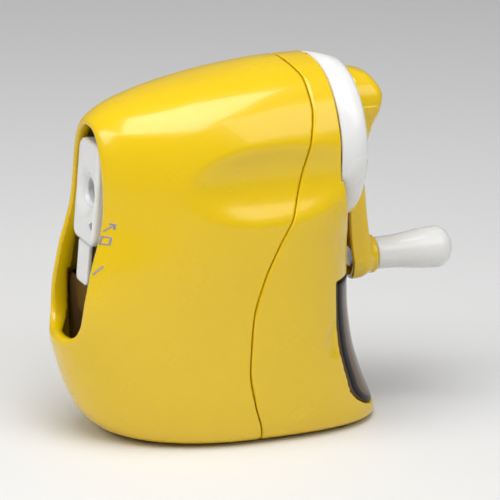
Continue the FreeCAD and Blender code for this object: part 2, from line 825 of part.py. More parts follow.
def pencil_collar():
    """The insert with the pencil hole in the middle of the slider."""
    y0 = slider_front + 1.5
    y1 = slider_front + slider_boss + slider_flange - 0.2
    body = rod(collar_radius, y0, y1, 0, pencil_height)
    body = body.cut(rod(pencil_bore, y0 - 1, y1 + 1, 0, pencil_height))
    mouth = Part.makeCone(collar_radius - 0.4, pencil_bore, 1.2,
                          Vector(0, y0 - 0.1, pencil_height), Vector(0, 1, 0))
    return body.cut(mouth)


def slider_guide():
    """The frame behind the slider that keeps it against the shell."""
    z = pencil_height
    y0 = slider_front + slider_boss + slider_flange + 0.3
    half = slider_flange_width / 2
    low = z - slider_below - slider_travel - 2
    high = z + slider_flange_above + 1.5
    plate = box(-half, half, y0, y0 + guide_bar, low, high)
    hole = box(-8.0, 8.0, y0 - 1, y0 + guide_bar + 1, z - 20.0, z + 9.0)
    window = box(9.6, 12.8, y0 - 1, y0 + guide_bar + 1, z - 3.0, z + 3.0)
    return lean(plate.cut(hole).cut(window))


def detent_spring():
    """A leaf spring on the guide that presses on the back of the slider's flange."""
    y0 = slider_front + slider_boss + slider_flange + 0.3 + guide_bar
    z = pencil_height
    leaf = box(9.2, 13.2, y0, y0 + 0.5, z - 22, z + 12)
    foot = box(9.2, 13.2, y0, y0 + 1.6, z - 22, z - 18)
    bump = Part.makeCylinder(guide_bar + 0.2, 2.4, Vector(10.0, y0, z), Vector(1, 0, 0))
    return lean(leaf.multiFuse([foot, bump]))


def drawer():
    """The shavings drawer, whose curved back is the window in the rear shell."""
    half = drawer_width / 2
    block = round_low_edges(box(-half, half, drawer_front, far, drawer_floor, drawer_top), drawer_corner)
    roof = drawer_top + 6.0
    block = block.common(body_form(0.0, foot_height, roof))
    inside = body_form(wall + shell_gap, foot_height, roof)
    block = block.common(inside.fuse(box(-half - 1, half + 1, 4.0, far, 0, body_height)))
    well = box(-half + drawer_wall, half - drawer_wall, drawer_front + drawer_wall, far,
               drawer_floor + drawer_wall, drawer_top + 1)
    well = round_low_edges(well, drawer_corner - drawer_wall)
    slim = body_form(drawer_wall + 0.4, foot_height, roof)
    slim_front = body_form(wall + shell_gap + drawer_wall, foot_height, roof)
    well = well.common(slim).common(slim_front.fuse(box(-half, half, 4.0, far, 0, body_height)))
    dip = box(-dip_width / 2, dip_width / 2, 0.0, far, drawer_top - dip_depth, far)
    return biggest(block.cut(well).cut(dip))


def arm_side(shrink):
    """The crank arm seen from the side, as a solid across the body."""
    back = cover_front + cover_depth + arm_gap
    top = crank_height + hub_radius + 0.6
    rear = [
        (back + 3.0, top), (back + 8.0, top - 2.6), (back + 10.9, top - 9.0),
        (back + 9.6, top - 14.0), (back + 7.2, top - 22), (back + 6.2, top - 31),
        (back + 6.9, top - 42), (back + 8.0, top - 53), (back + 9.4, knob_height + 5),
        (back + 10.0, knob_height - 2), (back + 9.0, knob_height - 6.6),
        (back + 5.6, knob_height - knob_end_radius),
    ]
    front = [
        (back + 2.9, knob_height - 6.0), (back + 2.0, knob_height + 2),
        (back + 0.9, knob_height + 12), (back + 0.3, knob_height + 24), (back, top - 34),
        (back, top - 20), (back, crank_height), (back + 0.6, top - 3.0),
    ]
    points = [Vector(-20, y - shrink, z) for y, z in rear]
    others = [Vector(-20, y, z) for y, z in front]
    rear_curve_line = Part.BSplineCurve()
    rear_curve_line.interpolate(points)
    front_curve_line = Part.BSplineCurve()
    front_curve_line.interpolate(others)
    edges = [
        rear_curve_line.toShape(), Part.makeLine(points[-1], others[0]),
        front_curve_line.toShape(), Part.makeLine(others[-1], points[0]),
    ]
    return Part.Face(Part.Wire(edges)).extrude(Vector(40, 0, 0))


def arm_outline(shrink):
    """The crank arm seen from behind: round at the hub and the knob, slimmer between."""
    hub = hub_radius - shrink
    end = knob_end_radius - shrink
    waist = waist_radius - shrink
    middle = (crank_height + knob_height) / 2 - 2
    right = [
        (0.0, crank_height + hub), (hub * 0.72, crank_height + hub * 0.70), (hub, crank_height),
        (hub * 0.93, crank_height - hub * 0.8), (waist + 0.3, middle + 9), (waist, middle),
        (end * 0.97, knob_height + end * 0.6), (end, knob_height),
        (end * 0.72, knob_height - end * 0.70), (0.0, knob_height - end),
    ]
    points = [Vector(x, 0, z) for x, z in right]
    points += [Vector(-p.x, 0, p.z) for p in points[-2:0:-1]]
    curve = Part.BSplineCurve()
    curve.interpolate(points, PeriodicFlag=True)
    return Part.Face(Part.Wire([curve.toShape()])).extrude(Vector(0, 80, 0))


def crank_arm():
    back = cover_front + cover_depth + arm_gap
    form = arm_side(0.0).common(arm_outline(0.0))
    hollow = arm_side(arm_wall).common(arm_outline(arm_wall))
    hollow = hollow.fuse(arm_outline(arm_wall).common(box(-20, 20, back - 2, back + 3, 0, 200)))
    arm = form.cut(hollow)
    hub = rod(crank_shaft_radius + 3.2, back, back + 12, 0, crank_height).common(form)
    boss = rod(knob_pin_radius + 3.0, back + 5.0, back + 12, 0, knob_height).common(form)
    collar = rod(collar_outer, back + 6.5, knob_start - 0.4, 0, knob_height)
    arm = arm.multiFuse([hub, boss, collar])
    arm = arm.cut(rod(crank_shaft_radius, back - 1, back + hub_socket, 0, crank_height))
    arm = arm.cut(rod(screw_radius, back, back + 30, 0, crank_height))
    arm = arm.cut(rod(screw_head_radius + 0.6, back + hub_screw_seat, back + 30, 0, crank_height))
    return biggest(arm.cut(rod(knob_pin_radius, back, 80, 0, knob_height)))


def crank_shaft():
    back = cover_front + cover_depth + arm_gap
    shaft = rod(crank_shaft_radius, cover_front - wall, back + hub_socket, 0, crank_height)
    return shaft.cut(rod(screw_radius, back - 3, back + hub_socket + 1, 0, crank_height))


def crank_washer():
    y = cover_front + cover_depth + 0.25
    return tube(bush_radius, crank_shaft_radius, y, y + arm_gap - 0.3, 0, crank_height)


def hub_screw():
    back = cover_front + cover_depth + arm_gap
    end = back + hub_screw_seat + screw_head_height
    head = rod(screw_head_radius, back + hub_screw_seat, end, 0, crank_height)
    screw = head.fuse(rod(screw_radius, back - 2, back + hub_screw_seat + 0.5, 0, crank_height))
    return cross_recess(screw, Vector(0, end, crank_height), Vector(0, -1, 0))


def knob_pin():
    back = cover_front + cover_depth + arm_gap
    head = rod(3.4, back + 3.4, back + 5.0, 0, knob_height)
    return head.fuse(rod(knob_pin_radius, back + 4.0, knob_start + knob_length - 6, 0, knob_height))


def handle_knob():
    """The knob: a straight neck that swells into a rounded bulb."""
    end = knob_start + knob_length
    profile = [
        (knob_start, knob_neck), (knob_start + 6, knob_neck + 0.05),
        (knob_start + 12, knob_neck + 0.75), (knob_start + 18, knob_bulb - 0.15),
        (end - 5.5, knob_bulb), (end - 2.0, knob_bulb - 1.9), (end, 0.0),
    ]
    points = [Vector(0, y, r) for y, r in profile]
    curve = Part.BSplineCurve()
    curve.interpolate(points, InitialTangent=Vector(0, 1, 0), FinalTangent=Vector(0, 0, -1))
    base = Vector(0, knob_start, 0)
    edges = [Part.makeLine(base, points[0]), curve.toShape(), Part.makeLine(points[-1], base)]
    solid = Part.Face(Part.Wire(edges)).revolve(Vector(0, 0, 0), Vector(0, 1, 0), 360)
    solid.translate(Vector(0, 0, knob_height))
    bore = rod(knob_pin_radius + running_gap, knob_start - 1, end - 5.5, 0, knob_height)
    return solid.cut(bore)


def slider_marker():
    """A small raised triangle beside the pencil hole."""
    x = slider_width / 2 - 2.6
    z = pencil_height - slider_below + 7.5
    y = slider_front - 0.25
    corners = [Vector(x - 1.1, y, z), Vector(x + 1.1, y, z + 1.3), Vector(x + 1.1, y, z - 1.3)]
    face = Part.Face(Part.makePolygon(corners + [corners[0]]))
    return lean(face.extrude(Vector(0, 0.25, 0)))


def base_screws():
    return Part.makeCompound([upright_screw(x, y, foot_height + 0.1, 4.2) for x, y in plate_screw_places()])


def nodes():
    front, rear = shells()
    makers = [
        gearbox_cover, base_plate, base_screws, feet, cutter_frame, frame_screws, cover_screws,
        ring_gear, pencil_tube, carrier_bush, inner_crank_bush, outer_crank_bush, slider_guide,
        detent_spring, slider_plate, slot_shutter, pencil_collar, slider_marker, drawer, crank_arm,
        crank_shaft, crank_pinion, crank_washer, hub_screw, knob_pin, handle_knob,
        cutter_carrier, carrier_plate, carrier_screws, carrier_shaft, carrier_gear, gear_clip,
        cutter_axle, helical_cutter, cutter_pinion,
    ]
    made = {"front_shell": front, "rear_shell": rear}
    for maker in makers:
        made[maker.__name__] = maker()
    made["rubber_feet"] = made.pop("feet")
    return made


os.makedirs("parts", exist_ok=True)
for name, shape in nodes().items():
    shape.exportStep("parts/" + name + ".step")
    print(name, len(shape.Solids), round(shape.Volume), shape.isValid())
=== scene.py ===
import json
import math

import bmesh
import bpy
import numpy as np
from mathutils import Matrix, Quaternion, Vector


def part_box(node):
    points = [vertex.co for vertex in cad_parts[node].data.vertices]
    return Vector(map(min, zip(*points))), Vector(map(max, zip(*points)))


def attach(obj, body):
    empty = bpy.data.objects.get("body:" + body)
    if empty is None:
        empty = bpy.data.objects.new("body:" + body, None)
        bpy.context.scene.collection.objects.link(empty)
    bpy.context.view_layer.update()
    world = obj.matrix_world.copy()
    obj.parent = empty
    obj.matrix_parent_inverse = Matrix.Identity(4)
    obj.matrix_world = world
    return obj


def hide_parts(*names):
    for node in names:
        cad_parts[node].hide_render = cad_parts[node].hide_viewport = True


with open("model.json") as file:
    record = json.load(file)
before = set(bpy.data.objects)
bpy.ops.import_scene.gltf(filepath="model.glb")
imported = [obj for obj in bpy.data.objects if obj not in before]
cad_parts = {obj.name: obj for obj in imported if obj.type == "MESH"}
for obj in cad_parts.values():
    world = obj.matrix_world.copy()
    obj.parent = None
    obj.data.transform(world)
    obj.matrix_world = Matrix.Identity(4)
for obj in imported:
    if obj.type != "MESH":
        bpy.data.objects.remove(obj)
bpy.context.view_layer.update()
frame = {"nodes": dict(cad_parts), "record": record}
print("frame loaded")

mm = 0.001

# sizes that the shells share with the frame, in millimetres
body = {
    "height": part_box("front_shell")[1].z / mm,
    "halfWidth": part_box("front_shell")[1].x / mm,
    "frontReach": 74.0,
    "rearReach": 42.0,
    "wall": 2.4,
    "stand": 0.8,          # the shell's height off the table
    "seamGap": 0.34,
    "seamRounding": 0.7,
    "frontSquareness": 2.1,
    "lipRounding": 3.2,    # how round the slot's lip is
    "cell": 0.8,           # size of one mesh facet
}

# outline against height: share of the height, then share of a reach
widthCurve = [(0.0, 0.79), (0.024, 0.905), (0.07, 0.965), (0.16, 0.994), (0.28, 1.0),
              (0.47, 0.988), (0.60, 0.965), (0.73, 0.918), (0.82, 0.85), (0.885, 0.744),
              (0.933, 0.613), (0.968, 0.455), (0.99, 0.26), (1.0, 0.06)]
frontCurve = [(0.0, -0.67), (0.024, -0.765), (0.07, -0.845), (0.12, -0.893), (0.20, -0.942),
              (0.29, -0.982), (0.38, -1.0), (0.49, -0.972), (0.625, -0.911), (0.79, -0.881),
              (0.85, -0.848), (0.89, -0.775), (0.927, -0.622), (0.958, -0.41), (0.984, -0.135),
              (1.0, 0.07)]
rearCurve = [(0.0, 0.95), (0.02, 1.0), (0.063, 0.954), (0.15, 0.848), (0.24, 0.770),
             (0.36, 0.724), (0.55, 0.709), (0.66, 0.75), (0.74, 0.85), (0.95, 0.85), (1.0, 0.6)]
middleCurve = [(0.0, -10.0), (0.7, -8.0), (0.87, -1.0), (0.95, 6.0), (1.0, 12.0)]
rearSquareness = [(0.0, 3.0), (0.3, 2.6), (0.52, 2.7), (0.70, 5.0), (1.0, 7.0)]
seamCurve = [(-0.05, -7.4), (0.03, -8.6), (0.12, -12.0), (0.22, -14.2), (0.35, -13.4),
             (0.47, -9.2), (0.555, -4.0), (0.63, 1.4), (0.73, 5.4), (0.83, 8.8), (0.91, 10.8),
             (0.965, 10.8), (1.0, 8.4), (1.05, 4.4)]

coverLow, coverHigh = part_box("gearbox_cover")
cover = {
    "radius": (coverHigh.x - coverLow.x) / 2 / mm,
    "height": (coverHigh.z + coverLow.z) / 2 / mm,
    "front": coverLow.y / mm - 0.3,
    "back": coverHigh.y / mm,
    "gap": 0.3,
    "crown": 0.9,        # how far the middle of the back stands out past its rim
    "taper": 2.5,        # how much smaller the back is
    "rimRounding": 2.4,
}
pencilHeight = sum(corner.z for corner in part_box("pencil_collar")) / 2 / mm
crankHeight = sum(corner.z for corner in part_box("crank_shaft")) / 2 / mm
knobHeight = sum(corner.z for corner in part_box("knob_pin")) / 2 / mm


def smoothLine(points, count=1500):  # a curve through the points that doesn't overshoot
    xs = np.array([p[0] for p in points], float)
    ys = np.array([p[1] for p in points], float)
    rises = np.diff(ys) / np.diff(xs)
    slopes = np.empty(len(xs))
    slopes[0], slopes[-1] = rises[0], rises[-1]
    turn = rises[:-1] * rises[1:]
    total = np.where(rises[:-1] + rises[1:] == 0, 1, rises[:-1] + rises[1:])
    slopes[1:-1] = np.where(turn > 0, 2 * turn / total, 0)
    at = np.linspace(xs[0], xs[-1], count)
    i = np.clip(np.searchsorted(xs, at, side="right") - 1, 0, len(xs) - 2)
    span = xs[i + 1] - xs[i]
    s = (at - xs[i]) / span
    value = ((1 + 2 * s) * (1 - s) ** 2 * ys[i] + s * (1 - s) ** 2 * span * slopes[i]
             + s * s * (3 - 2 * s) * ys[i + 1] - s * s * (1 - s) * span * slopes[i + 1])
    return lambda t: np.interp(t, at, value)


widthAt, frontAt, rearAt = smoothLine(widthCurve), smoothLine(frontCurve), smoothLine(rearCurve)
middleAt, squareAt = smoothLine(middleCurve), smoothLine(rearSquareness)
seamAt = smoothLine(seamCurve)
seamSlope = 0.95     # the seam leans, so a distance along Y is a little more than the true one


def both(a, b, rounding=0.0):  # inside both shapes, with a rounded edge where they meet
    if rounding <= 0:
        return np.maximum(a, b)
    mix = np.clip(rounding - np.abs(a - b), 0, None) / rounding
    return np.maximum(a, b) + mix * mix * rounding / 4


def either(a, b, rounding=0.0):
    return -both(-a, -b, rounding)


def without(a, b, rounding=0.0):
    return both(a, -b, rounding)


def trueDistance(form, x, y, z, step=0.05):  # turns any smooth form into a distance
    value = form(x, y, z)
    gx = (form(x + step, y, z) - value) / step
    gy = (form(x, y + step, z) - value) / step
    gz = (form(x, y, z + step) - value) / step
    return value / np.sqrt(gx * gx + gy * gy + gz * gz + 1e-6)


def bodyForm(inset):
    low, high = body["stand"] + inset, body["height"] - inset

    def form(x, y, z):
        share = np.clip(z, low, high) / body["height"]
        width = np.maximum(body["halfWidth"] * widthAt(share) - inset, 0.5)
        front = body["frontReach"] * frontAt(share) + inset
        rear = body["rearReach"] * rearAt(share) - inset
        middle = middleAt(share)
        behind = y > middle
        power = np.where(behind, squareAt(share), body["frontSquareness"])
        reach = np.maximum(np.where(behind, rear - middle, middle - front), 0.5)
        across = np.abs(x) / width
        along = np.abs(y - middle) / reach
        ring = (across ** power + along ** power) ** (1 / power)
        return (ring - 1) * np.minimum(width, reach)

    def distance(x, y, z):
        side = trueDistance(form, x, y, z)
        return both(both(side, low - z, 0.8), z - high, 0.8)
    return distance


dentPart = {
    "length": 64.0, "height": 18.5, "across": 12.0, "depth": 3.0, "y": 2.0, "rise": 6.5,
    "turn": 2.5,       # how the dent follows the side, seen from above, in degrees
    "lean": 9.0,       # and seen from the front
    "blend": 1.6,      # softness of the dent's edge
}


def dents(x, y, z):
    height = pencilHeight + dentPart["rise"]
    centreX = body["halfWidth"] * widthAt(height / body["height"]) + dentPart["across"] - dentPart["depth"]
    turn, lean = math.radians(dentPart["turn"]), math.radians(dentPart["lean"])

    def form(x, y, z):
        dx, dy, dz = np.abs(x) - centreX, y - dentPart["y"], z - height
        out = dx * math.cos(lean) + dz * math.sin(lean)
        up = dz * math.cos(lean) - dx * math.sin(lean)
        aside = (out * math.cos(turn) - dy * math.sin(turn)) / dentPart["across"]
        along = (out * math.sin(turn) + dy * math.cos(turn)) / dentPart["length"]
        up = up / dentPart["height"]
        return (np.sqrt(aside * aside + along * along + up * up + 1e-9) - 1) * dentPart["across"]
    return trueDistance(form, x, y, z)


def behindRim(x, y, z, forward=0.0):  # what the case leaves open behind it for the cover
    front = cover["front"] - forward
    rim = smoothLine([(cover["height"] - 60, front + 44), (cover["height"] - 33, front + 13),
                      (cover["height"] - 23, front + 4.6), (cover["height"] - 9, front + 1.2),
                      (cover["height"] + 3, front), (cover["height"] + 60, front)])
    lean = np.interp(z, [cover["height"] - 33, cover["height"] - 9], [0.75, 1.0])
    return (rim(z) - y) * lean + 0 * x


def aroundY(x, y, z, radius, height, start, end=200.0):  # a cylinder along Y
    return both(np.sqrt(x * x + (z - height) ** 2) - radius, both(start - y, y - end))


slotPart = {
    "halfWidth": 14.2, "above": 22.2, "below": 49.0, "middleBelow": 24.0,
    "topPower": 2.7, "bottomPower": 4.0, "depth": 30.0,
    "lipWidth": 2.0, "lipDepth": 5.5,
    "lipGap": 0.5,     # between the lip and the slider behind it
}


def slotForm(x, y, z, grow=0.0):
    middle = pencilHeight - slotPart["middleBelow"]

    def form(x, y, z):
        up = z > middle
        reach = np.where(up, slotPart["above"] + slotPart["middleBelow"],
                         slotPart["below"] - slotPart["middleBelow"])
        power = np.where(up, slotPart["topPower"], slotPart["bottomPower"])
        across = np.abs(x) / (slotPart["halfWidth"] + grow)
        along = np.abs(z - middle) / (reach + grow)
        return ((across ** power + along ** power + 1e-9) ** (1 / power) - 1) * 14.0 + 0 * y
    return both(trueDistance(form, x, y, z), y + body["frontReach"] - slotPart["depth"])


drawerLow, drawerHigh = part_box("drawer")
tub = {"floor": drawerLow.z / mm, "top": drawerHigh.z / mm, "half": drawerHigh.x / mm,
       "front": drawerLow.y / mm, "wall": 1.7, "inset": 2.9, "corner": 9.0,
       "dipHalf": 9.2, "dipDepth": 8.6,    # the dip lets the drawer pass under the crank
       "gap": 0.5, "lift": 0.4,            # the room round it and under it
       "slimEnd": 4.0}                     # ahead of this it is slimmer, inside the case
slider = {
    "front": -61.1, "lean": 4.0, "half": 9.35, "above": 17.0, "below": 17.6, "thick": 5.4,
    "corner": 3.6, "rim": 1.8, "tongueHalf": 4.85, "tongueBelow": 32.0, "tongueThick": 1.6,
    "tongueBack": 0.7,
    "flangeHalf": 14.5, "flangeAbove": 11.5, "flangeThick": 1.6, "bore": 5.6,
    "dishRadius": 8.1, "dishDepth": 2.4, "dishSlope": 1.35,
    "cell": 0.42,
}
bay = {
    "reach": tub["half"] + tub["gap"],
    "floor": tub["floor"] - tub["lift"],
    "roof": tub["top"] + tub["gap"],
    "thumbRadius": 6.3,
    "thumbHeight": 33.5,
    "thumbY": 20.6,
    "thumbDepth": 1.5,
    "thumbSkin": 0.9,  # what the scoop leaves of the case beside the drawer
}


def trough(x, z, half, floor, corner):  # straight sides, a flat floor and round lower corners
    outside = np.abs(x) - half + corner
    under = floor + corner - z
    return (np.sqrt(np.maximum(outside, 0) ** 2 + np.maximum(under, 0) ** 2)
            + np.minimum(np.maximum(outside, under), 0) - corner)


def bayForm(x, y, z):
    hole = trough(x, z, bay["reach"], bay["floor"], tub["corner"] + tub["lift"])
    return both(hole, both(-y, z - bay["roof"]), 0.6)


def thumbForm(x, y, z, outer):  # a shallow scoop in the case beside the drawer
    ring = np.sqrt((y - bay["thumbY"]) ** 2 + (z - bay["thumbHeight"]) ** 2)
    depth = bay["thumbDepth"] * (1 - (ring / bay["thumbRadius"]) ** 2)
    scoop = both(-(outer + depth), ring - bay["thumbRadius"])
    return both(scoop, bay["reach"] + bay["thumbSkin"] - np.abs(x))


def shellForm(x, y, z):
    outer = without(bodyForm(0.0)(x, y, z), dents(x, y, z), dentPart["blend"])
    outer = without(outer, behindRim(x, y, z), 1.0)
    seat = aroundY(x, y, z, cover["radius"] + cover["gap"], cover["height"], cover["front"])
    outer = without(outer, seat, 0.8)
    shell = without(outer, outer + body["wall"])
    lip = both(both(slotForm(x, y, z, slotPart["lipWidth"]), outer), -(outer + slotPart["lipDepth"]), 1.2)
    lean = math.radians(slider["lean"])
    plane = ((y - slider["front"]) * math.cos(lean) - (z - pencilHeight) * math.sin(lean)
             - slider["thick"] + slotPart["lipGap"])
    lip = both(lip, plane, 1.2)
    lip = without(lip, both(tub["front"] - tub["gap"] - y, z - tub["top"] - 1), 1.2)
    shell = both(either(shell, lip, 1.2), outer)
    shell = without(shell, slotForm(x, y, z), body["lipRounding"])
    shell = without(shell, bayForm(x, y, z), 1.0)
    return without(shell, thumbForm(x, y, z, outer), 0.8)


def frontShellForm(x, y, z):
    seam = (y - seamAt(z / body["height"])) * seamSlope + body["seamGap"] / 2
    return both(shellForm(x, y, z), seam, body["seamRounding"])


def rearShellForm(x, y, z):
    seam = (seamAt(z / body["height"]) - y) * seamSlope + body["seamGap"] / 2
    return both(shellForm(x, y, z), seam, body["seamRounding"])


def surfaceGradient(form, x, y, z, step=0.02):
    value = form(x, y, z)
    slope = np.stack([form(x + step, y, z) - value, form(x, y + step, z) - value,
                      form(x, y, z + step) - value], axis=1) / step
    return value, slope


cubeCorners = [(i, j, k) for i in (0, 1) for j in (0, 1) for k in (0, 1)]
cubeEdges = [(a, b) for a in range(8) for b in range(a + 1, 8)
             if sum(abs(p - q) for p, q in zip(cubeCorners[a], cubeCorners[b])) == 1]


def netOver(form, low, high, cell):  # wraps a net of quads over the surface of a form
    axes = [np.arange(low[n] - 1.5 * cell, high[n] + 2.5 * cell, cell) for n in range(3)]
    value = form(axes[0][:, None, None], axes[1][None, :, None], axes[2][None, None, :])
    value = np.broadcast_to(value, [len(a) for a in axes])
    inside = value < 0
    size = [len(a) - 1 for a in axes]
    shifted = [inside[i:i + size[0], j:j + size[1], k:k + size[2]] for i, j, k in cubeCorners]
    mixed = np.logical_or.reduce(shifted) & ~np.logical_and.reduce(shifted)
    at = np.argwhere(mixed)
    corner = np.stack([value[at[:, 0] + i, at[:, 1] + j, at[:, 2] + k] for i, j, k in cubeCorners], 1)
    total = np.zeros((len(at), 3))
    crossings = np.zeros(len(at))
    for a, b in cubeEdges:
        va, vb = corner[:, a], corner[:, b]
        cross = (va < 0) != (vb < 0)
        part = np.where(cross, va / np.where(cross, va - vb, 1), 0)
        start, end = np.array(cubeCorners[a], float), np.array(cubeCorners[b], float)
        total += np.where(cross[:, None], start + part[:, None] * (end - start), 0)
        crossings += cross
    points = (at + total / crossings[:, None]) * cell + np.array([a[0] for a in axes])
    number = np.full(size, -1)
    number[mixed] = np.arange(len(at))
    quads = []
    for axis in range(3):
        one, two = (axis + 1) % 3, (axis + 2) % 3
        first = np.take(inside, range(size[axis]), axis=axis)
        second = np.take(inside, range(1, size[axis] + 1), axis=axis)
        edge = np.argwhere(first != second)
        edge = edge[(edge[:, one] > 0) & (edge[:, two] > 0)
                    & (edge[:, one] < size[one]) & (edge[:, two] < size[two])]
        outward = first[edge[:, 0], edge[:, 1], edge[:, 2]]
        ring = []
        for da, db in ((1, 1), (0, 1), (0, 0), (1, 0)):
            place = edge.copy()
            place[:, one] -= da
            place[:, two] -= db
            ring.append(number[place[:, 0], place[:, 1], place[:, 2]])
        ring = np.stack(ring, 1)
        quads.append(np.where(outward[:, None], ring, ring[:, ::-1]))
    quads = np.concatenate(quads)
    for _ in range(4):  # pulls the net tight onto the surface
        off, slope = surfaceGradient(form, *points.T)
        move = (off / np.maximum((slope ** 2).sum(1), 0.05))[:, None] * slope
        length = np.linalg.norm(move, axis=1)[:, None]
        points -= move * np.minimum(1, 0.35 * cell / np.maximum(length, 1e-9))
    slope = surfaceGradient(form, *points.T)[1]
    normals = slope / np.maximum(np.linalg.norm(slope, axis=1)[:, None], 1e-9)
    return points, quads, normals


def meshPiece(name, points, faces, normals=None):
    mesh = bpy.data.meshes.new(name)
    mesh.from_pydata((np.asarray(points) * mm).tolist(), [], [list(map(int, f)) for f in faces])
    mesh.validate()
    mesh.shade_smooth()
    if normals is not None and len(normals) == len(mesh.vertices):
        mesh.normals_split_custom_set_from_vertices(np.asarray(normals).tolist())
    piece = bpy.data.objects.new(name, mesh)
    bpy.context.scene.collection.objects.link(piece)
    return piece


def formedPiece(name, form, low, high, cell):
    points, quads, normals = netOver(form, low, high, cell)
    print(name, len(quads), "facets")
    return meshPiece(name, points, quads, normals)


def turnedPiece(name, profile, height, steps=128):  # spins (y, radius) points about a Y axis
    rings = []
    for y, radius in profile:
        turn = np.linspace(0, 2 * math.pi, steps, endpoint=False)
        rings.append(np.stack([radius * np.cos(turn), np.full(steps, y),
                               height + radius * np.sin(turn)], 1))
    points = np.concatenate(rings)
    faces = []
    for r in range(len(profile) - 1):
        for k in range(steps):
            after = (k + 1) % steps
            faces.append((r * steps + k, (r + 1) * steps + k, (r + 1) * steps + after,
                          r * steps + after))
    piece = meshPiece(name, points, faces)
    tidy = bmesh.new()
    tidy.from_mesh(piece.data)
    bmesh.ops.remove_doubles(tidy, verts=tidy.verts, dist=1e-7)
    bmesh.ops.recalc_face_normals(tidy, faces=tidy.faces)
    tidy.to_mesh(piece.data)
    tidy.free()
    piece.data.shade_smooth()
    return piece


def roundedCorner(start, middle, end, radius, steps=8):  # an arc that rounds one corner
    a = (Vector(start) - Vector(middle)).normalized()
    b = (Vector(end) - Vector(middle)).normalized()
    half = math.acos(max(-1, min(1, a.dot(b)))) / 2
    centre = Vector(middle) + (a + b).normalized() * radius / math.sin(half)
    reach = radius / math.tan(half)
    first, last = Vector(middle) + a * reach, Vector(middle) + b * reach
    arc = []
    for k in range(steps + 1):
        mix = first.lerp(last, k / steps) - centre
        arc.append(tuple(centre + mix.normalized() * radius))
    return arc


# finishes
def newMaterial(name):
    material = bpy.data.materials.new(name)
    material.use_nodes = True
    tree = material.node_tree
    return material, tree, tree.nodes["Principled BSDF"]


def noiseNode(tree, scale, detail=3.0, stretch=None):
    place = tree.nodes.new("ShaderNodeTexCoord")
    noise = tree.nodes.new("ShaderNodeTexNoise")
    noise.inputs["Scale"].default_value = scale
    noise.inputs["Detail"].default_value = detail
    if stretch:
        mapping = tree.nodes.new("ShaderNodeMapping")
        mapping.inputs["Scale"].default_value = stretch
        tree.links.new(place.outputs["Object"], mapping.inputs["Vector"])
        tree.links.new(mapping.outputs["Vector"], noise.inputs["Vector"])
    else:
        tree.links.new(place.outputs["Object"], noise.inputs["Vector"])
    return noise


def spread(tree, source, low, high):  # turns 0..1 noise into a narrow range of numbers
    range_ = tree.nodes.new("ShaderNodeMapRange")
    range_.inputs["From Min"].default_value = 0.3
    range_.inputs["From Max"].default_value = 0.7
    range_.inputs["To Min"].default_value = low
    range_.inputs["To Max"].default_value = high
    tree.links.new(source, range_.inputs["Value"])
    return range_.outputs["Result"]


def varyColour(tree, shader, source, dark, light):
    ramp = tree.nodes.new("ShaderNodeValToRGB")
    ramp.color_ramp.elements[0].position = 0.25
    ramp.color_ramp.elements[1].position = 0.75
    ramp.color_ramp.elements[0].color = (*dark, 1)
    ramp.color_ramp.elements[1].color = (*light, 1)
    tree.links.new(source, ramp.inputs["Fac"])
    tree.links.new(ramp.outputs["Color"], shader.inputs["Base Color"])
    return ramp


def roughen(tree, shader, source, strength, distance):
    bump = tree.nodes.new("ShaderNodeBump")
    bump.inputs["Strength"].default_value = strength
    bump.inputs["Distance"].default_value = distance
    tree.links.new(source, bump.inputs["Height"])
    tree.links.new(bump.outputs["Normal"], shader.inputs["Normal"])


def mouldedPlastic(name, dark, light, rough, coat=0.0, grain=900.0, bump=0.04, glow=0.0):
    material, tree, shader = newMaterial(name)
    cloudy = noiseNode(tree, 26.0)
    varyColour(tree, shader, cloudy.outputs["Fac"], dark, light)
    tree.links.new(spread(tree, noiseNode(tree, 70.0, 5.0).outputs["Fac"], rough * 0.85, rough * 1.2),
                   shader.inputs["Roughness"])
    roughen(tree, shader, noiseNode(tree, grain, 2.0).outputs["Fac"], bump, 0.0001)
    shader.inputs["Coat Weight"].default_value = coat
    shader.inputs["Coat Roughness"].default_value = 0.04
    shader.inputs["Subsurface Weight"].default_value = glow
    shader.inputs["Subsurface Radius"].default_value = (0.004, 0.003, 0.001)
    shader.inputs["Subsurface Scale"].default_value = 0.6
    return material


def metal(name, dark, light, rough, stretch):
    material, tree, shader = newMaterial(name)
    lines = noiseNode(tree, 260.0, 6.0, stretch)
    varyColour(tree, shader, lines.outputs["Fac"], dark, light)
    tree.links.new(spread(tree, lines.outputs["Fac"], rough * 0.7, rough * 1.4),
                   shader.inputs["Roughness"])
    roughen(tree, shader, lines.outputs["Fac"], 0.12, 0.0001)
    shader.inputs["Metallic"].default_value = 1.0
    return material


smokeFinish = {
    "tint": (0.25, 0.145, 0.06), "deep": (0.15, 0.085, 0.035),
    # rim is a near-black colour painted as shade along the back's outline; it stands in for the shade in
    # the gap and in the edge-on plastic
    "rim": (0.004, 0.003, 0.003), "shine": 0.2,
    "shadeBand": 2.0,     # width of the painted shade band along the edge, in millimetres
}


def mathNode(tree, operation, first, second=0.0):
    node = tree.nodes.new("ShaderNodeMath")
    node.operation = operation
    for socket, value in zip(node.inputs, (first, second)):
        if isinstance(value, float):
            socket.default_value = value
        else:
            tree.links.new(value, socket)
    return node.outputs[0]


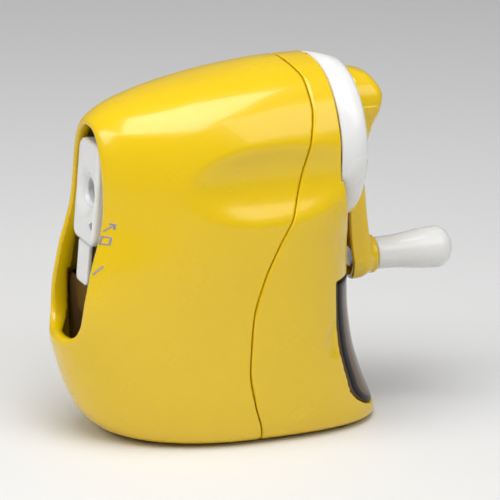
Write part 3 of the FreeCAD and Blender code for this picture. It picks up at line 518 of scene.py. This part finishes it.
def smokyPlastic():  # see-through brown, with painted shade in a dark band that follows the drawer's outline on its back
    material, tree, shader = newMaterial("smokyPlastic")
    cloudy = noiseNode(tree, 30.0)
    ramp = varyColour(tree, shader, cloudy.outputs["Fac"], smokeFinish["deep"], smokeFinish["tint"])
    place = tree.nodes.new("ShaderNodeTexCoord")
    parts = tree.nodes.new("ShaderNodeSeparateXYZ")
    tree.links.new(place.outputs["Object"], parts.inputs[0])
    corner = tub["corner"] * mm
    outside = mathNode(tree, "SUBTRACT", mathNode(tree, "ABSOLUTE", parts.outputs["X"]),
                       tub["half"] * mm - corner)
    under = mathNode(tree, "SUBTRACT", tub["floor"] * mm + corner, parts.outputs["Z"])
    across = tree.nodes.new("ShaderNodeCombineXYZ")
    tree.links.new(mathNode(tree, "MAXIMUM", outside), across.inputs["X"])
    tree.links.new(mathNode(tree, "MAXIMUM", under), across.inputs["Z"])
    length = tree.nodes.new("ShaderNodeVectorMath")
    length.operation = "LENGTH"
    tree.links.new(across.outputs[0], length.inputs[0])
    shadeBand = smokeFinish["shadeBand"] * mm
    shadeEdges = []
    for source, start in ((length.outputs["Value"], corner - shadeBand),
                          (parts.outputs["Z"], tub["top"] * mm - shadeBand)):
        step = tree.nodes.new("ShaderNodeMapRange")
        step.inputs["From Min"].default_value = start - 0.0002
        step.inputs["From Max"].default_value = start + 0.0002
        tree.links.new(source, step.inputs["Value"])
        shadeEdges.append(step.outputs["Result"])
    facing = tree.nodes.new("ShaderNodeSeparateXYZ")    # only the back gets the painted shade band
    tree.links.new(place.outputs["Normal"], facing.inputs[0])
    back = tree.nodes.new("ShaderNodeMapRange")
    back.inputs["From Min"].default_value = 0.15
    back.inputs["From Max"].default_value = 0.3
    tree.links.new(facing.outputs["Y"], back.inputs["Value"])
    # painted shade mask: where it is 1, the back is painted near-black and lets no light through
    paintedShade = mathNode(tree, "MULTIPLY", mathNode(tree, "MAXIMUM", *shadeEdges), back.outputs["Result"])
    mix = tree.nodes.new("ShaderNodeMix")
    mix.data_type = "RGBA"
    tree.links.new(paintedShade, mix.inputs["Factor"])
    tree.links.new(ramp.outputs["Color"], mix.inputs[6])
    mix.inputs[7].default_value = (*smokeFinish["rim"], 1)
    tree.links.new(mix.outputs[2], shader.inputs["Base Color"])
    clear = tree.nodes.new("ShaderNodeMapRange")
    clear.inputs["To Min"].default_value = 0.6
    clear.inputs["To Max"].default_value = 0.0
    tree.links.new(paintedShade, clear.inputs["Value"])
    tree.links.new(clear.outputs["Result"], shader.inputs["Transmission Weight"])
    tree.links.new(spread(tree, noiseNode(tree, 90.0, 4.0).outputs["Fac"], 0.08, 0.18),
                   shader.inputs["Roughness"])
    roughen(tree, shader, noiseNode(tree, 500.0).outputs["Fac"], 0.03, 0.0001)
    shader.inputs["Specular IOR Level"].default_value = smokeFinish["shine"]
    return material


finishes = {
    "yellow_plastic": mouldedPlastic("yellowGlossPlastic", (0.82, 0.545, 0.0), (0.85, 0.575, 0.0), 0.24,
                                     coat=0.4, glow=0.08),
    "white_plastic": mouldedPlastic("whiteGlossPlastic", (0.80, 0.80, 0.79), (0.84, 0.84, 0.83), 0.24,
                                    coat=0.3, glow=0.15),
    "black_plastic": mouldedPlastic("blackPlastic", (0.012, 0.012, 0.012), (0.02, 0.02, 0.02), 0.4),
    "gear_plastic": mouldedPlastic("gearPlastic", (0.74, 0.70, 0.60), (0.79, 0.76, 0.67), 0.42),
    "black_rubber": mouldedPlastic("blackRubber", (0.015, 0.015, 0.015), (0.03, 0.03, 0.03), 0.8,
                                   grain=400.0, bump=0.3),
    "grey_ink": mouldedPlastic("greyInk", (0.30, 0.275, 0.33), (0.34, 0.31, 0.37), 0.4),
    "smoke_plastic": smokyPlastic(),
    "steel": metal("brushedSteel", (0.50, 0.50, 0.51), (0.64, 0.64, 0.65), 0.28, (1.0, 0.08, 1.0)),
    "cast_metal": metal("castZinc", (0.40, 0.41, 0.42), (0.52, 0.53, 0.54), 0.42, (1.0, 1.0, 1.0)),
    "bronze": metal("sinteredBronze", (0.44, 0.28, 0.12), (0.56, 0.38, 0.18), 0.4, (1.0, 1.0, 1.0)),
}
for subpart in frame["record"]["subparts"]:
    node = frame["nodes"][subpart["node"]]
    for slot in node.material_slots:
        slot.material = finishes[subpart["material_slot"]]
print("finishes ready")


def finishPiece(piece, bodyName, slotName, *replaced):
    piece.data.materials.append(finishes[slotName])
    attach(piece, bodyName)
    if replaced:
        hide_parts(*replaced)
    return piece


# case
reach = body["halfWidth"]
frontShell = formedPiece("frontShell", frontShellForm, (-reach, -74.2, 0.5),
                         (reach, 11.0, body["height"]), body["cell"])
finishPiece(frontShell, "housing", "yellow_plastic", "front_shell")
rearShell = formedPiece("rearShell", rearShellForm, (-reach, -15.0, 0.5),
                        (reach, 42.5, body["height"]), body["cell"])
finishPiece(rearShell, "housing", "yellow_plastic", "rear_shell")
print("case made")

# gearbox cover
rim = cover["back"] - cover["crown"]
rearRadius = cover["radius"] - cover["taper"]
profile = [(cover["front"] + 0.3, cover["radius"] - 1.8), (cover["front"] + 0.3, cover["radius"])]
profile += roundedCorner((cover["front"] + 1, cover["radius"] - 0.1), (rim, rearRadius), (rim, 0),
                         cover["rimRounding"], 12)
edgeRadius = profile[-1][1]
for k in range(1, 13):
    turn = k / 12 * math.pi / 2
    profile.append((rim + cover["crown"] * (1 - math.cos(turn) ** 2), edgeRadius * math.cos(turn)))
coverPiece = turnedPiece("gearboxCover", profile, cover["height"])
finishPiece(coverPiece, "housing", "white_plastic", "gearbox_cover")


# drawer
def tubForm(x, y, z):
    wall = tub["wall"]
    block = both(trough(x, z, tub["half"], tub["floor"], tub["corner"]), tub["front"] - y, 1.4)
    block = both(block, z - tub["top"], 1.0)
    slim = either(bodyForm(tub["inset"])(x, y, z), tub["slimEnd"] - y + 0 * x)
    block = both(both(block, bodyForm(0.0)(x, y, z), 0.8), slim)
    well = trough(x, z, tub["half"] - wall, tub["floor"] + wall, tub["corner"] - wall)
    well = both(well, tub["front"] + wall - y, 1.4)
    slimWell = either(bodyForm(tub["inset"] + wall)(x, y, z), tub["slimEnd"] - y + 0 * x)
    well = both(both(well, bodyForm(wall + tub["lift"])(x, y, z)), slimWell)
    block = without(block, well, 0.6)
    dip = both(both(np.abs(x) - tub["dipHalf"], tub["top"] - tub["dipDepth"] - z, 3.0), -y)
    return without(block, dip, 0.6)


drawerPiece = formedPiece("shavingsDrawer", tubForm, (-tub["half"], tub["front"], tub["floor"]),
                          (tub["half"], 43.0, tub["top"]), 0.9)
finishPiece(drawerPiece, "drawer", "smoke_plastic", "drawer")
print("drawer made")

# front slider
sliderLow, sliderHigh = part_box("slider_plate")


def leaned(y, z):  # depth behind the slider's face, and height above the pencil hole
    turn = math.radians(slider["lean"])
    dy, dz = y - slider["front"], z - pencilHeight
    return dy * math.cos(turn) - dz * math.sin(turn), dy * math.sin(turn) + dz * math.cos(turn)


def sliderForm(x, y, z):
    dy, dz = y - slider["front"], z - pencilHeight
    depth, up = leaned(y, z)
    middle = (slider["above"] - slider["below"]) / 2
    tall = (slider["above"] + slider["below"]) / 2
    qx = np.abs(x) - slider["half"] + slider["corner"]
    qz = np.abs(up - middle) - tall + slider["corner"]
    outline = (np.sqrt(np.maximum(qx, 0) ** 2 + np.maximum(qz, 0) ** 2)
               + np.minimum(np.maximum(qx, qz), 0) - slider["corner"])
    boss = both(both(outline, -depth, slider["rim"]), depth - slider["thick"])
    back = slider["thick"] + slider["flangeThick"]
    flange = both(both(np.abs(x) - slider["flangeHalf"], -slider["below"] - up, 1.0),
                  both(up - slider["flangeAbove"], both(slider["thick"] - depth, depth - back), 0.3), 0.3)
    plate = either(boss, flange, 0.3)
    around = np.sqrt(x * x + dz * dz)
    dish = around - slider["dishRadius"] + np.maximum(dy + 0.3, 0) * slider["dishSlope"]
    dish = both(dish * 0.6, dy - slider["dishDepth"])
    plate = without(plate, dish, 1.2)
    return without(plate, around - slider["bore"])


sliderPiece = formedPiece("frontSlider", sliderForm, tuple(sliderLow / mm),
                          tuple(sliderHigh / mm), slider["cell"])
finishPiece(sliderPiece, "slider", "white_plastic", "slider_plate")


def shutterForm(x, y, z):
    depth, up = leaned(y, z)
    behind = slider["tongueBack"] - depth
    strip = both(both(np.abs(x) - slider["tongueHalf"], -slider["tongueBelow"] - up, 2.0),
                 up + slider["below"] + 0.02)
    return both(both(strip, behind, 0.8), depth - slider["tongueBack"] - slider["tongueThick"])


shutterLow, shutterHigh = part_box("slot_shutter")
shutterTop = pencilHeight - slider["below"] + 1
shutterPiece = formedPiece("slotShutter", shutterForm, tuple(shutterLow / mm),
                           (shutterHigh.x / mm, shutterHigh.y / mm, shutterTop), slider["cell"])
finishPiece(shutterPiece, "slider", "white_plastic", "slot_shutter")
print("slider made")

# crank arm
crankStart = cover["back"] + 0.8
arm = {
    "back": [(45.0, 5.6), (46.4, 9.0), (51.0, 10.0), (58.0, 9.4), (68.0, 8.0), (79.0, 6.9),
             (90.0, 6.2), (99.0, 7.2), (107.0, 9.8), (112.0, 10.8), (118.4, 8.0), (121.0, 3.0)],
    "front": [(45.0, 3.6), (47.0, 2.9), (55.0, 2.0), (65.0, 0.9), (77.0, 0.3), (87.0, 0.0),
              (109.0, 0.0), (118.0, 0.6)],
    "half": [(53.0, 8.0), (68.0, 7.6), (80.0, 7.4), (92.0, 8.6), (108.8, 11.6)],
    "hub": 11.6, "end": 8.0, "wall": 1.9, "rounding": 3.4,
    "shaftBoss": 6.2,      # radius of the post round the shaft
    "pinBoss": 5.0, "pinBossStart": 5.0,
    "collar": 6.6, "collarStart": 6.5, "collarEnd": 44.5,
    "screwSeat": 7.4, "screwHole": 3.2,
}
armBack, armFront = smoothLine(arm["back"]), smoothLine(arm["front"])
armHalf = smoothLine(arm["half"])


def armForm(x, y, z):
    depth = y - crankStart
    span = both(np.abs(x) - armHalf(z), both(knobHeight - z, z - crankHeight))
    hub = np.sqrt(x * x + (z - crankHeight) ** 2) - arm["hub"]
    end = np.sqrt(x * x + (z - knobHeight) ** 2) - arm["end"]
    outline = either(either(span, hub, 0.6), end, 0.6)
    solid = both(outline, depth - armBack(z), arm["rounding"])
    solid = both(solid, armFront(z) - depth, 0.6)
    hollow = both(outline + arm["wall"], depth - armBack(z) + arm["wall"], 1.6)
    solid = without(solid, hollow, 0.6)
    within = both(outline + 0.5, depth - armBack(z) + 0.5)
    boss = both(aroundY(x, y, z, arm["shaftBoss"], crankHeight, crankStart), within)
    foot = both(aroundY(x, y, z, arm["pinBoss"], knobHeight, crankStart + arm["pinBossStart"]), within)
    collarStart = crankStart + arm["collarStart"]
    collar = aroundY(x, y, z, arm["collar"], knobHeight, collarStart, arm["collarEnd"])
    solid = either(either(solid, boss, 0.5), foot, 0.5)
    solid = either(solid, both(collar, y - arm["collarEnd"], 0.6), 1.2)
    seat = aroundY(x, y, z, arm["screwHole"], crankHeight, crankStart + arm["screwSeat"])
    return without(solid, seat, 0.5)


armPiece = formedPiece("crankArm", armForm, (-12.0, crankStart, 44.0), (12.0, 47.5, 122.0), 0.5)
finishPiece(armPiece, "crank", "yellow_plastic", "crank_arm")
print("crank made")

# knob
knobLow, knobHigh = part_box("handle_knob")
knob = {
    "start": knobLow.y / mm, "end": knobHigh.y / mm,
    "shape": [(0.0, 5.6), (6.0, 5.65), (12.0, 6.25), (18.0, 7.0), (23.3, 7.3)],
    "bulb": 23.3,     # from the collar to the widest place
    "pin": 2.06, "pinDepth": 8.0,
    "tipPower": 0.9,  # below 1 makes the end blunter
}
knobRadius = smoothLine(knob["shape"])
neck, bulb = knob["shape"][0][1], knob["shape"][-1][1]
profile = [(knob["start"] + knob["pinDepth"], knob["pin"]), (knob["start"], knob["pin"])]
profile += roundedCorner((knob["start"], 3.0), (knob["start"], neck), (knob["start"] + 3, neck), 0.7, 6)
for k in range(1, 25):
    along = 0.7 + (knob["bulb"] - 0.7) * k / 24
    profile.append((knob["start"] + along, float(knobRadius(along))))
tip = knob["end"] - knob["start"] - knob["bulb"]
for k in range(1, 17):
    turn = k / 16 * math.pi / 2
    profile.append((knob["start"] + knob["bulb"] + tip * math.sin(turn),
                    bulb * math.cos(turn) ** knob["tipPower"]))
knobPiece = turnedPiece("crankKnob", profile, knobHeight)
finishPiece(knobPiece, "knob", "white_plastic", "handle_knob")
print("knob made")

# printed marks beside the slot
marks = {
    "raise": 0.06,    # how far the ink stands off the case
    "sink": 0.1,      # and how far it goes in
    "width": 0.55,    # of one stroke
    "arrow": (17.6, 78.0),      # sideways and upward place of each mark, in millimetres
    "square": (17.4, 73.6),
    "bar": (17.6, 63.6),
}


def inkStroke(name, middle, path, closed=False):  # path is in millimetres round the middle
    line = []
    for a, b in zip(path, path[1:] + path[:1] if closed else path[1:]):
        count = max(2, int(math.dist(a, b) / 0.25))
        line += [(a[0] + (b[0] - a[0]) * k / count, a[1] + (b[1] - a[1]) * k / count)
                 for k in range(count)]
    if not closed:
        line.append(path[-1])
    line = np.array(line)
    if closed:
        along = np.roll(line, -1, 0) - np.roll(line, 1, 0)
    else:
        along = np.gradient(line, axis=0)
    along /= np.linalg.norm(along, axis=1)[:, None]
    aside = np.stack([-along[:, 1], along[:, 0]], 1) * marks["width"] / 2
    rings = []
    low, high = -marks["sink"], marks["raise"]
    for shift, level in ((-1, low), (1, low), (0.9, high), (-0.9, high)):
        flat = line + aside * shift
        front = np.full(len(flat), slider["front"] - 0.9)
        points = np.stack([middle[0] + flat[:, 0], front, middle[1] + flat[:, 1]], 1)
        for _ in range(12):  # carries the stroke onto the case
            off = bodyForm(0.0)(*points.T) - level
            points[:, 1] += off * 0.9
        rings.append(points)
    points = np.stack(rings, 1).reshape(-1, 3)
    faces = []
    steps = len(line) if closed else len(line) - 1
    for k in range(steps):
        after = (k + 1) % len(line)
        for c in range(4):
            d = (c + 1) % 4
            faces.append((4 * k + c, 4 * after + c, 4 * after + d, 4 * k + d))
    if not closed:
        last = 4 * (len(line) - 1)
        faces += [(0, 1, 2, 3), (last + 3, last + 2, last + 1, last)]
    return finishPiece(meshPiece(name, points, faces), "housing", "grey_ink")


inkStroke("arrowMark", marks["arrow"], [(-1.2, -1.3), (1.2, 1.3)])
inkStroke("arrowMarkTip", marks["arrow"], [(-0.3, 1.3), (1.2, 1.3), (1.2, -0.4)])
inkStroke("squareMark", marks["square"], [(-1.2, -1.2), (1.2, -1.2), (1.2, 1.2), (-1.2, 1.2)], True)
inkStroke("barMark", marks["bar"], [(-1.0, -1.6), (1.0, 1.6)])
print("marks made")

# floor, light and camera
studio = {
    "floor": (0.80, 0.80, 0.80), "aroundStrength": 0.24,
    "azimuth": 67.0, "elevation": 17.25, "distance": 1.7125, "lens": 362.6, "roll": 0.93,
    "target": (0.0, -0.0006, 0.0581), "across": -0.0004, "up": 0.0008,
}


def makeFloor():
    bend, back, depth, width = 0.8, 3.4, 2.6, 3.2
    profile = [(-depth, 0.0), (0.0, 0.0), (back - bend, 0.0)]
    profile += [(back - bend + bend * math.sin(a), bend - bend * math.cos(a))
                for a in np.linspace(0.05, math.pi / 2, 24)]
    profile.append((back, 3.4))
    away = math.radians(studio["azimuth"])
    points, faces = [], []
    for along, up in profile:
        for side in (-width, width):
            points.append((side * math.cos(away) - along * math.sin(away),
                           side * math.sin(away) + along * math.cos(away), up))
    for k in range(len(profile) - 1):
        faces.append((2 * k, 2 * k + 1, 2 * k + 3, 2 * k + 2))
    floor = meshPiece("floor", np.array(points) / mm, faces)
    material, tree, shader = newMaterial("paleFloor")
    cloudy = noiseNode(tree, 3.0)
    dark = [c * 0.985 for c in studio["floor"]]
    varyColour(tree, shader, cloudy.outputs["Fac"], dark, studio["floor"])
    shader.inputs["Roughness"].default_value = 0.75
    floor.data.materials.append(material)


def aim(thing, target):
    thing.rotation_mode = "QUATERNION"
    thing.rotation_quaternion = (Vector(target) - thing.location).to_track_quat("-Z", "Y")


def softLight(name, azimuth, elevation, distance, size, power, target=(0, 0, 0.06), tall=None):
    lamp = bpy.data.lights.new(name, "AREA")
    lamp.shape = "RECTANGLE"
    lamp.size = size
    lamp.size_y = tall or size
    lamp.energy = power
    thing = bpy.data.objects.new(name, lamp)
    bpy.context.scene.collection.objects.link(thing)
    a, e = math.radians(azimuth), math.radians(elevation)
    thing.location = Vector(target) + distance * Vector(
        (math.sin(a) * math.cos(e), -math.cos(a) * math.cos(e), math.sin(e)))
    aim(thing, target)


makeFloor()
bpy.context.scene.view_settings.view_transform = "Standard"
softLight("topLight", 60, 72, 0.9, 0.7, 7)
softLight("leftLight", 5, 38, 0.9, 0.4, 2)
softLight("rightLight", 120, 40, 1.0, 0.5, 1.5)

world = bpy.data.worlds.new("studio")
bpy.context.scene.world = world
world.use_nodes = True
world.node_tree.nodes["Background"].inputs["Color"].default_value = (1, 1, 1, 1)
world.node_tree.nodes["Background"].inputs["Strength"].default_value = studio["aroundStrength"]

camera = bpy.data.objects.new("camera", bpy.data.cameras.new("camera"))
bpy.context.scene.collection.objects.link(camera)
bpy.context.scene.camera = camera
camera.data.lens = studio["lens"]
camera.data.clip_start = 0.05
a, e = math.radians(studio["azimuth"]), math.radians(studio["elevation"])
back = Vector((math.sin(a) * math.cos(e), -math.cos(a) * math.cos(e), math.sin(e)))
right = Vector((math.cos(a), math.sin(a), 0))
aimPoint = Vector(studio["target"]) + studio["across"] * right + studio["up"] * back.cross(right)
camera.location = aimPoint + studio["distance"] * back
aim(camera, aimPoint)
camera.rotation_quaternion @= Quaternion((0, 0, 1), math.radians(studio["roll"]))

print("scene ready")
